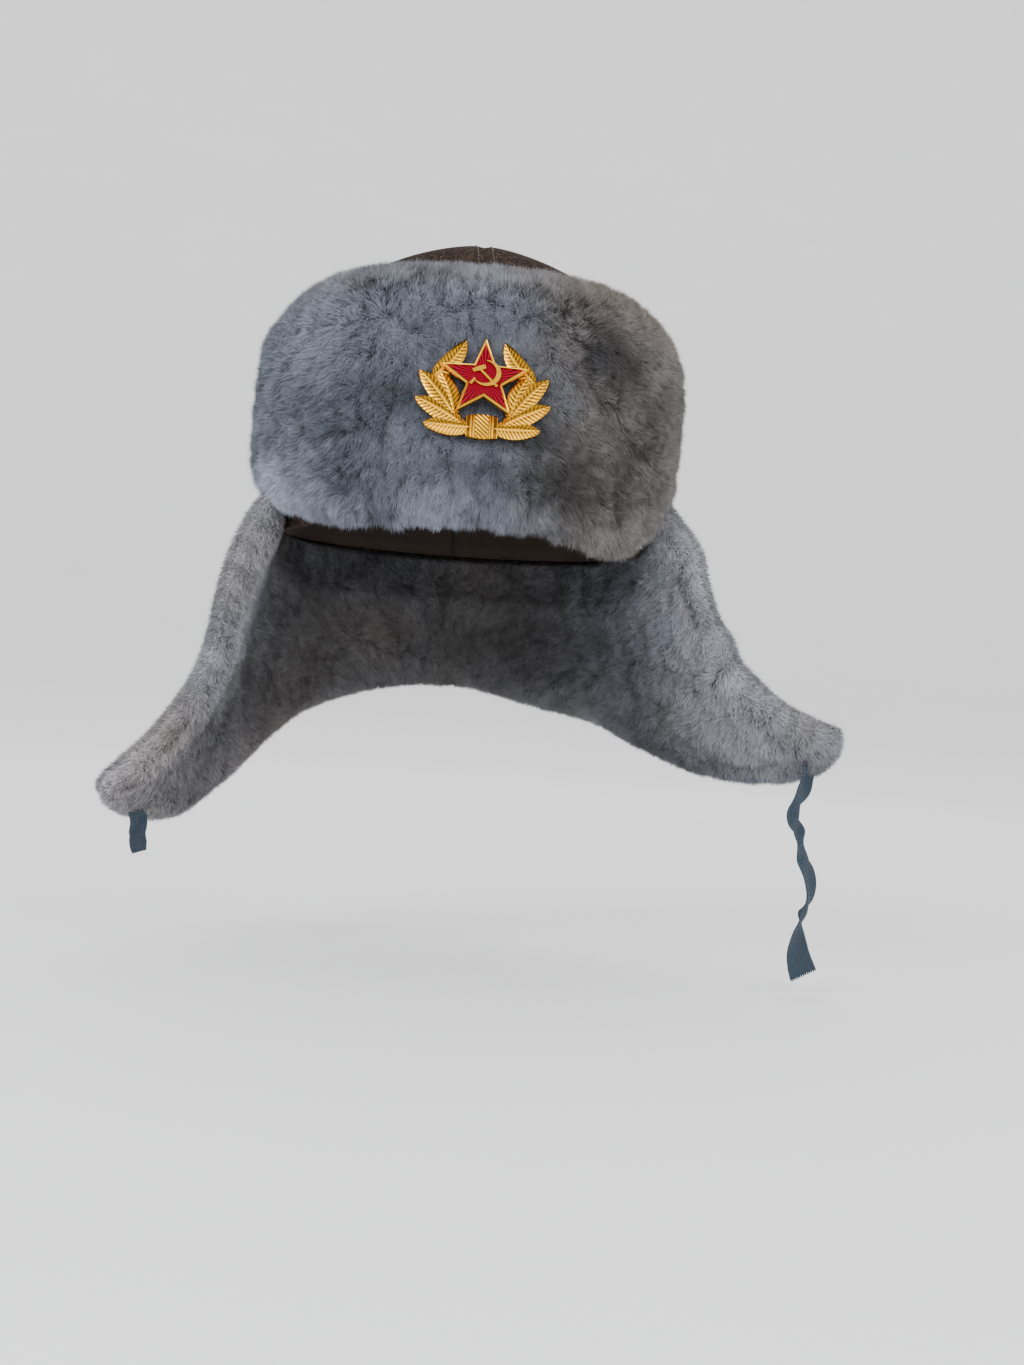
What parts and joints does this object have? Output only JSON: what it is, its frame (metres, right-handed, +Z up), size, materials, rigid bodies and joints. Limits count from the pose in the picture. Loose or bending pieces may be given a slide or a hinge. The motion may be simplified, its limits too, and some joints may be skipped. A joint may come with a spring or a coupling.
{
  "type": "ushanka hat",
  "caption": "Winter hat of wool cloth and grey fur, with a turned-up fur front flap, hanging fur-lined ear and neck flaps, tape ties and a star cockade.",
  "frame": {"origin": "middle of the head opening, in the plane of the crown's lower edge", "axes": "+Z up, the front faces -Y, the wearer's left is +X"},
  "size_m": [0.3442, 0.2448, 0.3336],
  "materials": {
    "wool_cloth": "matt felted wool",
    "fur": "dense soft pile",
    "gilt_metal": "polished gilt",
    "red_enamel": "glossy enamel",
    "woven_tape": "matt woven cotton"
  },
  "bodies": {
    "root": {"crown_left": "wool_cloth", "crown_right": "wool_cloth", "front_flap_cloth": "wool_cloth", "front_flap_fur": "fur", "left_flap_cloth": "wool_cloth", "left_flap_fur": "fur", "right_flap_cloth": "wool_cloth", "right_flap_fur": "fur", "badge_wreath": "gilt_metal", "badge_star": "gilt_metal", "badge_enamel": "red_enamel", "badge_emblem": "gilt_metal", "badge_post": "gilt_metal", "left_tie": "woven_tape", "right_tie": "woven_tape"}
  },
  "joints": []
}
